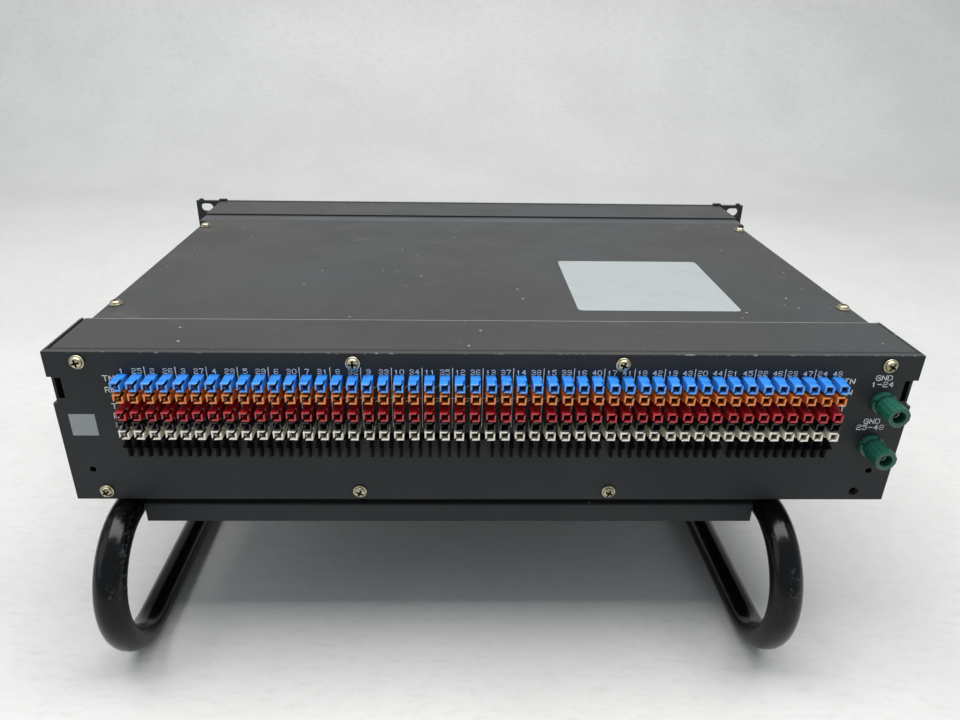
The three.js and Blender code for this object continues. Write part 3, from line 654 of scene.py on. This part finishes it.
def terminals():
    """Five rows of tubes, each leaning a little, with their carrier bars and contacts."""
    dice = random.Random(48)
    contacts = bmesh.new()
    for row, (slot, reach) in ROWS.items():
        low, high = box_mm(row)
        height = row_height(row)
        bm = bmesh.new()
        block(bm, (low.x, CARRIER_FACE, low.z), (high.x, high.y, high.z))
        tube = terminal_tube(reach)
        spring = contact(reach)
        for column in range(COLUMNS):
            tilt = Matrix.Rotation(math.radians(dice.gauss(0, 0.55)), 4, "X")
            turn = Matrix.Rotation(math.radians(dice.gauss(0, 0.9)), 4, "Z")
            roll = Matrix.Rotation(math.radians(dice.gauss(0, 1.3)), 4, "Y")
            spot = Matrix.Translation((FIELD_LEFT + COLUMN_PITCH * column, dice.uniform(-0.12, 0.12), height))
            for whole, shape in ((bm, tube), (contacts, spring)):
                merge(whole, shape, spot @ tilt @ turn @ roll)
        tube.free()
        spring.free()
        finish_mesh(f"{row}_detail", bm, MATERIALS[slot], replaces=[row])
    finish_mesh("terminal_contacts", contacts, CONTACT_METAL)


def wire_comb():
    """The comb of barbed blades, with its edges broken."""
    bm = cad_copy("wire_comb")
    bevel_all(bm, 0.12, 1, 20)
    finish_mesh("wire_comb_detail", bm, COMB_PLASTIC, replaces=["wire_comb"])


# ---- Printing ----
# Plain stroke letters: a stroke is a run of points, and a point is a column 0-4 and a row 0-6 from the
# baseline.
GLYPHS = {
    "0": ["10 30 41 45 36 16 05 01 10"],
    "1": ["14 26 20"],
    "2": ["05 16 36 45 44 33 13 02 00 40"],
    "3": ["05 16 36 45 44 33 42 41 30 10 01", "13 33"],
    "4": ["30 36 02 42"],
    "5": ["46 06 04 34 43 41 30 10 01"],
    "6": ["45 36 16 05 01 10 30 41 42 33 03"],
    "7": ["06 46 45 22 20"],
    "8": ["13 04 05 16 36 45 44 33 13 02 01 10 30 41 42 33"],
    "9": ["01 10 30 41 45 36 16 05 04 13 43"],
    "-": ["03 43"],
    "D": ["00 06 26 45 41 20 00"],
    "G": ["45 36 16 05 01 10 40 43 23"],
    "N": ["00 06 40 46"],
    "R": ["00 06 36 45 44 33 03", "23 40"],
    "S": ["01 10 30 41 42 33 13 04 05 16 36 45"],
    "T": ["06 46", "26 20"],
}
INK_DEPTH = (-0.05, -0.01)


def stroke(bm, start, end, width):
    """A printed line with rounded ends, between two (x, z) points."""
    direction = math.atan2(end[1] - start[1], end[0] - start[0])
    outline = []
    for point, turn in ((end, -math.pi / 2), (start, math.pi / 2)):
        for step in range(5):
            angle = direction + turn + math.pi * step / 4
            outline.append((point[0] + width / 2 * math.cos(angle), point[1] + width / 2 * math.sin(angle)))
    extrude_outline(bm, outline, *INK_DEPTH)


def write(bm, text, x, z, height, align=0.5, wide=0.78, width=0.44):
    """Writes text with its baseline at z; align 0, 0.5 or 1 puts x at its left, middle or right."""
    cell = height * wide
    advance = cell + height * 0.32
    left = x - align * (advance * (len(text) - 1) + cell)
    for index, letter in enumerate(text):
        for run in GLYPHS[letter]:
            points = [(left + advance * index + cell * int(p[0]) / 4, z + height * int(p[1]) / 6)
                      for p in run.split()]
            for start, end in zip(points, points[1:]):
                stroke(bm, start, end, width)


def rear_printing():
    """Column numbers, row letters, post names, the rules between pairs of columns and their wiring marks."""
    number_height, letter_height, post_height = 2.6, 2.8, 2.7
    letter_drop, link_line, link_mark = 1.3, 0.16, 0.22
    numbers, letters, rules = bmesh.new(), bmesh.new(), bmesh.new()
    for column in range(COLUMNS):
        number = column // 2 + 1 + (COLUMNS // 2 if column % 2 else 0)
        x = FIELD_LEFT + COLUMN_PITCH * column
        write(numbers, str(number), x, NUMBER_LINE, number_height, wide=0.72, width=0.38)
    right = FIELD_LEFT + COLUMN_PITCH * (COLUMNS - 1)
    for text, row in zip(("TN", "RN", "T", "R", "S"), ROWS):
        z = row_height(row) - letter_drop
        apart = 4.4 if len(text) > 1 else 5.9
        write(letters, text, FIELD_LEFT - apart, z, letter_height, 1.0)
        write(letters, text, right + apart, z, letter_height, 0.0)
    for label, z in POST_MARKS:
        write(letters, label, POST_MARK_X, z, post_height)
    link = (row_height("ring_normal_terminals") + row_height("tip_terminals")) / 2 + LINK_LINE
    for pair in range(COLUMNS // 2):
        middle = FIELD_LEFT + COLUMN_PITCH * (2 * pair + 0.5)
        for low, high in LINK_MARKS:
            stroke(rules, (middle - LINK_HALF, low), (middle + LINK_HALF, high), link_mark)
        stroke(rules, (middle - COLUMN_PITCH, link), (middle + COLUMN_PITCH, link), link_line)
        if pair:
            x = middle - COLUMN_PITCH
            stroke(rules, (x, RULE["bottom"]), (x, RULE["top"]), RULE["width"])
    finish_mesh("rear_numbers", numbers, INK)
    finish_mesh("rear_letters", letters, INK)
    finish_mesh("rear_rules", rules, INK)
    plate = bmesh.new()
    (left_x, right_x), (low_z, high_z) = MARK_PLATE["x"], MARK_PLATE["z"]
    outline = [(left_x, low_z), (right_x, low_z), (right_x, high_z), (left_x, high_z)]
    extrude_outline(plate, outline, *INK_DEPTH)
    finish_mesh("rear_mark", plate, LABEL_PAPER)


# ---- Screws ----
def plus_outline(reach, half):
    """The twelve corners of a plus sign."""
    corners = [(reach, half), (half, half), (half, reach)]
    points = []
    for quarter in range(4):
        turn = Matrix.Rotation(math.pi / 2 * quarter, 2)
        points += [tuple(turn @ Vector(corner)) for corner in corners]
    return points


def cross_head():
    """A washer-head screw with a tapered cross recess, its head towards -Y and its seat at y = 0."""
    head = turned([(0, -2.88), (0.9, -2.84), (1.8, -2.66), (2.6, -2.25), (3.0, -1.7), (3.05, -1.05),
                   (3.6, -0.95), (3.72, -0.8), (3.72, -0.32), (1.9, -0.3), (1.9, 6.8), (0, 6.8)], 32)
    bmesh.ops.recalc_face_normals(head, faces=head.faces)
    tool = bmesh.new()
    # Reach, half width and depth of the recess, at its mouth and at its bottom.
    rings = [[tool.verts.new((x, y, z)) for x, z in plus_outline(reach, half)]
             for reach, half, y in ((2.5, 0.62, -3.3), (1.2, 0.36, -0.8))]
    tool.faces.new(rings[0])
    tool.faces.new(rings[1][::-1])
    skin(tool, *rings)
    bmesh.ops.recalc_face_normals(tool, faces=tool.faces)
    head = cut_with(head, tool)
    # The faces inside the recess take the piece's second material, a dark metal that is painted shade in the
    # recess.
    for face in head.faces:
        middle = face.calc_center_median()
        face.material_index = int(-2.1 < middle.y < -0.5 and math.hypot(middle.x, middle.z) < 2.2)
    return head


def screws():
    """A cross-head screw at every screw node, each turned its own way."""
    dice = random.Random(15)
    head = cross_head()
    for node in sorted(frame["nodes"]):
        if "_screw_" not in node:
            continue
        low, high = box_mm(node)
        centre = (low + high) / 2
        spin = Matrix.Rotation(dice.uniform(0, math.pi / 2), 4, "Y")
        if node.startswith("rear"):
            seat = Matrix.Translation((centre.x, 0.0, centre.z))
        elif node.startswith("cover"):
            cover_top = box_mm("top_cover")[1].z
            seat = Matrix.Translation((centre.x, centre.y, cover_top)) @ Matrix.Rotation(-math.pi / 2, 4, "X")
        else:
            panel_face = box_mm("front_panel")[1].y
            seat = Matrix.Translation((centre.x, panel_face, centre.z)) @ Matrix.Rotation(math.pi, 4, "X")
        bm = bmesh.new()
        merge(bm, head, seat @ spin)
        slot = NODE_SLOT[node]
        piece = finish_mesh(f"{node}_detail", bm, MATERIALS[slot], replaces=[node], smooth=40)
        piece.data.materials.append(RECESS_SHADE_METAL)
    head.free()


# ---- Ground posts ----
def knob_shape():
    """A fluted knob with a bore in its outer end."""
    sides, flutes = 96, 12
    end, base, web = -16.45, -4.25, -11.0
    hole, bore = POST_HOLE, 3.2
    bm = bmesh.new()

    def ring(radius, y, flute):
        points = []
        for i in range(sides):
            angle = 2 * math.pi * i / sides
            groove = max(0.0, math.cos(flutes * angle) - 0.55) / 0.45
            r = radius - flute * groove ** 1.5
            points.append(bm.verts.new((r * math.cos(angle), y, r * math.sin(angle))))
        return points

    profile = [(hole, base, 0), (5.0, base, 0), (5.45, base - 0.25, 0.1), (5.6, base - 0.8, 0.38),
               (5.6, end + 0.9, 0.38), (5.5, end + 0.3, 0.3), (5.1, end, 0.1), (bore + 0.35, end, 0),
               (bore, end + 0.3, 0), (bore, web, 0), (hole, web, 0)]
    rings = [ring(*entry) for entry in profile]
    for near, far in zip(rings, rings[1:] + rings[:1]):
        skin(bm, far, near)
    return bm


def collar_shape():
    """The flanged collar under the knob, with four shallow key notches in its rim."""
    collar = turned([(POST_HOLE, 0.8), (POST_HOLE, -3.0), (5.9, -3.0), (6.3, -2.75), (6.4, -2.3),
                     (6.4, -0.35), (3.65, -0.35), (3.65, 0.8)], 64, close=True)
    bmesh.ops.recalc_face_normals(collar, faces=collar.faces)
    tool = bmesh.new()
    for angle in (20, 110, 200, 290):
        notch = bmesh.new()
        block(notch, (5.3, -3.4, -0.7), (7.0, -1.9, 0.7))
        bmesh.ops.recalc_face_normals(notch, faces=notch.faces)
        merge(tool, notch, Matrix.Rotation(math.radians(angle), 4, "Y"))
        notch.free()
    return cut_with(collar, tool)


def washer_shape():
    """The plain washer between the collar and the knob."""
    return turned([(POST_HOLE, -3.35), (POST_HOLE, -3.85), (4.4, -3.85), (4.55, -3.7), (4.55, -3.5),
                   (4.4, -3.35)], 48, close=True)


def stud_shape():
    """The post's stud, stepped down to a thin tip inside the knob."""
    return turned([(0, -4.6), (1.9, -4.6), (1.9, -12.0), (2.1, -12.15), (2.3, -12.15), (2.45, -12.0),
                   (2.45, 13.3), (0, 13.3)], 32)


def ground_posts():
    """Both posts: fixed collar and stud, a washer that slides, and a knob that slides and turns."""
    for name in LEVELS:
        low, high = box_mm(f"{name}_post_stud")
        centre = Matrix.Translation(((low.x + high.x) / 2, 0, (low.z + high.z) / 2))
        parts = {
            "collar": (collar_shape(), "green_plastic", ROOT),
            "knob": (knob_shape(), "green_plastic", f"{name}_knob"),
            "washer": (washer_shape(), "nickel", f"{name}_knob_travel"),
            "stud": (stud_shape(), "nickel", ROOT),
        }
        for part, (shape, slot, body) in parts.items():
            bm = bmesh.new()
            merge(bm, shape, centre)
            shape.free()
            node = f"{name}_post_{part}"
            finish_mesh(f"{node}_detail", bm, MATERIALS[slot], body, [node])


# ---- Stand ----
def leg_tube(node):
    """A closed loop of round tube in its CAD node's box, drawn out of round by its two bends."""
    low, high = box_mm(node)
    radius = LEG_RADIUS
    x = (low.x + high.x) / 2
    bend = (high.z - low.z) / 2 - radius
    z = (low.z + high.z) / 2
    ends = (low.y + radius + bend, high.y - radius - bend)
    steps, sides = 24, 40
    bm = bmesh.new()
    rings = []
    for side, start in ((1, 0.0), (-1, math.pi)):
        centre = ends[1] if side > 0 else ends[0]
        for i in range(steps + 1):
            angle = start + math.pi * i / steps
            flat = math.sin(math.pi * i / steps) ** 0.7
            out = Vector((0, math.sin(angle), -math.cos(angle)))
            middle = Vector((x, centre, z)) + (bend + LEG_FLAT["shift"] * flat) * out
            through = (radius - LEG_FLAT["through"] * flat) * out
            across = Vector((radius + LEG_FLAT["width"] + LEG_FLAT["across"] * flat, 0, 0))
            turns = [2 * math.pi * k / sides for k in range(sides)]
            rings.append([bm.verts.new(middle + math.cos(t) * through + math.sin(t) * across) for t in turns])
    for near, far in zip(rings, rings[1:] + rings[:1]):
        skin(bm, far, near)
    slot = NODE_SLOT[node]
    finish_mesh(f"{node}_detail", bm, MATERIALS[slot], replaces=[node], smooth=60)


# ---- Front ----
def circle(x, z, radius, sides=40):
    """The corners of a round outline."""
    return [(x + radius * math.cos(2 * math.pi * i / sides), z + radius * math.sin(2 * math.pi * i / sides))
            for i in range(sides)]


def hole_tool(outlines, near_y, far_y):
    """One closed prism along Y for each outline, to cut holes with."""
    tool = bmesh.new()
    for outline in outlines:
        plug = bmesh.new()
        extrude_outline(plug, outline, near_y, far_y)
        bmesh.ops.recalc_face_normals(plug, faces=plug.faces)
        merge(tool, plug)
        plug.free()
    return tool


def jack_places(row):
    """The X of each jack and the Z of one row, from the row's CAD bar."""
    low, high = box_mm(f"{row}_jack_row")
    return [JACK_PITCH * (i - (JACKS - 1) / 2) for i in range(JACKS)], (low.z + high.z) / 2


def front_panel():
    """The rack panel with round jack holes and rounded ear slots."""
    low, high = box_mm("front_panel")
    top = HEIGHT + BOX_GAP
    bm = bmesh.new()
    block(bm, (low.x, low.y, low.z), (high.x, high.y, top))
    for side in (-1, 1):
        for tab in EAR_TABS:
            ends = sorted(side * x for x in tab)
            block(bm, (ends[0], low.y, top), (ends[1], high.y, high.z))
    bmesh.ops.recalc_face_normals(bm, faces=bm.faces)
    holes = []
    for row in LEVELS:
        places, z = jack_places(row)
        holes += [circle(x, z, JACK["hole"]) for x in places]
    for side in (-1, 1):
        for z in (low.z + EAR_SLOT["edge"], top - EAR_SLOT["edge"]):
            slot = []
            for centre, start in ((EAR_SLOT["half"], -90), (-EAR_SLOT["half"], 90)):
                for step in range(13):
                    angle = math.radians(start + 15 * step)
                    slot.append((side * EAR_SLOT["x"] + centre + EAR_SLOT["radius"] * math.cos(angle),
                                 z + EAR_SLOT["radius"] * math.sin(angle)))
            holes.append(slot)
        for screw in (1, 2):
            name = f"front_screw_{screw if side < 0 else screw + 2}"
            a, b = box_mm(name)
            holes.append(circle((a.x + b.x) / 2, (a.z + b.z) / 2, SCREW_HOLE, 24))
    panel = cut_with(bm, hole_tool(holes, low.y - 1, high.y + 1))
    bevel_all(panel, 0.25, 2, 50)
    finish_mesh("front_panel_detail", panel, MATERIALS["powder_coat"], replaces=["front_panel"],
                flat_above=FLAT_AREA)


def jack_row(row):
    """A bar of jacks: moulded bodies behind the panel and ringed bushings through it."""
    low, high = box_mm(f"{row}_jack_row")
    places, z = jack_places(row)
    panel_back, panel_face = (corner.y for corner in box_mm("front_panel"))
    back = panel_back - JACK["gap"]
    bm = bmesh.new()
    block(bm, (low.x, back - JACK["bar"], low.z), (high.x, back, high.z))
    bmesh.ops.recalc_face_normals(bm, faces=bm.faces)
    bores = [circle(x, z, JACK["bore"]) for x in places]
    bm = cut_with(bm, hole_tool(bores, back - JACK["bar"] - 0.5, back + 1))
    bevel_all(bm, 0.3, 2, 50)
    end = back - JACK["bushing"]
    bushing = turned([(3.2, end), (3.2, panel_face + 1.3), (3.6, panel_face + 1.7), (4.5, panel_face + 1.7),
                      (4.8, panel_face + 1.4), (4.8, back - 0.5), (4.2, back - 0.5), (4.2, end)], 40,
                     close=True)
    for x in places:
        merge(bm, bushing, Matrix.Translation((x, 0, z)))
        body = bmesh.new()
        wide, tall = JACK["half_width"], JACK["half_height"]
        block(body, (x - wide, low.y, z - tall), (x + wide, end - 0.5, z + tall))
        bevel_all(body, 0.5, 2)
        merge(bm, body)
        body.free()
    bushing.free()
    finish_mesh(f"{row}_jack_row_detail", bm, MATERIALS["black_plastic"], replaces=[f"{row}_jack_row"],
                flat_above=FLAT_AREA)


def strip_piece(node):
    """A label strip or its holder, with rounded edges."""
    bm = cad_copy(node)
    bevel_all(bm, 0.2, 2, 50)
    slot = NODE_SLOT[node]
    finish_mesh(f"{node}_detail", bm, MATERIALS[slot], replaces=[node], flat_above=FLAT_AREA)


def cover_label():
    """A plain pale label on the cover, with rounded corners."""
    cover_top = box_mm("top_cover")[1].z
    radius = LABEL["radius"]
    bm = bmesh.new()
    outline = []
    for cx, cy, start in ((1, 1, 0), (-1, 1, 90), (-1, -1, 180), (1, -1, 270)):
        for step in range(7):
            angle = math.radians(start + 15 * step)
            outline.append((cx * (LABEL["width"] / 2 - radius) + radius * math.cos(angle),
                            cy * (LABEL["depth"] / 2 - radius) + radius * math.sin(angle)))
    extrude_outline(bm, outline, -0.08, -0.02)
    seat = Matrix.Translation((LABEL["x"], LABEL["y"], cover_top))
    bm.transform(seat @ Matrix.Rotation(-math.pi / 2, 4, "X"))
    finish_mesh("cover_label", bm, LABEL_PAPER)


# ---- Stage, light and camera ----
def backdrop():
    """A pale floor that curves up into a wall well beyond the object."""
    floor = Shader("stage_surface", srgb(0xCBCBC9), 0.5)
    floor.tint(floor.remap(floor.noise(5, 6, 0.6), 0.35, 0.7, 0.0, 0.7), srgb(0xC2C2C0))
    grain = floor.noise(120, 8, 0.75, stretch=(0.6, 1.8, 1.0))
    floor.tint(floor.remap(grain, 0.45, 0.75, 0.0, 0.6), srgb(0xB4B4B2))
    floor.tint(floor.remap(floor.cells(60), 0.02, 0.07, 0.35, 0.0), srgb(0xA9A9A7))
    floor.relief(floor.noise(900, 3), 0.03)
    front, back, radius, wall, half_width, steps = -6.0, 1.0, 0.5, 2.6, 7.0, 24
    profile = [(front, 0.0), (back, 0.0)]
    for step in range(1, steps + 1):
        angle = math.pi / 2 * step / steps
        profile.append((back + radius * math.sin(angle), radius * (1 - math.cos(angle))))
    profile.append((back + radius, wall))
    mesh = bpy.data.meshes.new("backdrop")
    vertices = [(x, y, z) for y, z in profile for x in (-half_width, half_width)]
    faces = [(2 * i, 2 * i + 1, 2 * i + 3, 2 * i + 2) for i in range(len(profile) - 1)]
    mesh.from_pydata(vertices, [], faces)
    for face in mesh.polygons:
        face.use_smooth = True
    mesh.materials.append(floor.material)
    piece = bpy.data.objects.new("backdrop", mesh)
    bpy.context.scene.collection.objects.link(piece)


def area_light(name, place, target, size, watts, colour=(1, 1, 1)):
    """A rectangular lamp at a place, aimed at a target."""
    data = bpy.data.lights.new(name, "AREA")
    data.shape = "RECTANGLE"
    data.size, data.size_y = size
    data.energy = watts
    data.color = colour
    light = bpy.data.objects.new(name, data)
    light.location = place
    light.rotation_euler = (Vector(target) - Vector(place)).to_track_quat("-Z", "Y").to_euler()
    bpy.context.scene.collection.objects.link(light)


def lighting():
    """A soft lamp overhead, a faint one on the wall, a weak one from the left, and pale surroundings."""
    world = bpy.data.worlds.new("studio")
    world.use_nodes = True
    background = world.node_tree.nodes["Background"]
    background.inputs["Color"].default_value = (0.86, 0.92, 1.0, 1.0)
    background.inputs["Strength"].default_value = 0.5
    bpy.context.scene.world = world
    area_light("overhead", (0.0, -0.12, 1.7), (0, -0.08, 0), (2.4, 0.9), 44.5, (1.0, 0.99, 0.97))
    area_light("wall_wash", (0.0, 0.6, 2.0), (0, 1.5, 0.4), (3.0, 0.4), 4.0)
    area_light("left_window", (-1.6, -0.6, 1.0), (0, 0, 0.1), (1.0, 1.2), 3.5, (0.95, 0.98, 1.0))


def camera():
    """The viewpoint, placed from the middle of the rear face's lower edge, in millimetres and radians."""
    place = CHASSIS @ Vector((-19.79, -327.83, 238.85))
    pitch, yaw, roll = 0.44544, 0.02369, 0.01505
    forward = Vector((math.sin(yaw) * math.cos(pitch), math.cos(yaw) * math.cos(pitch), -math.sin(pitch)))
    level = Vector((math.cos(yaw), -math.sin(yaw), 0))
    upright = level.cross(forward)
    right = math.cos(roll) * level + math.sin(roll) * upright
    up = -math.sin(roll) * level + math.cos(roll) * upright
    data = bpy.data.cameras.new("camera")
    data.sensor_width = 36.0
    data.lens = 27.478
    data.shift_x = 0.016365
    data.shift_y = 0.003156
    data.clip_start = 0.01
    view = bpy.data.objects.new("camera", data)
    view.matrix_world = Matrix.Translation(place) @ Matrix((right, up, -forward)).transposed().to_4x4()
    bpy.context.scene.collection.objects.link(view)
    bpy.context.scene.camera = view


camera()
sheet_metal()
terminals()
wire_comb()
rear_printing()
screws()
ground_posts()
for leg in ("left_leg_tube", "right_leg_tube"):
    leg_tube(leg)
front_panel()
for row_name in LEVELS:
    jack_row(row_name)
    strip_piece(f"{row_name}_strip_holder")
    strip_piece(f"{row_name}_label_strip")
cover_label()
backdrop()
lighting()
bpy.context.scene.view_settings.view_transform = "Standard"
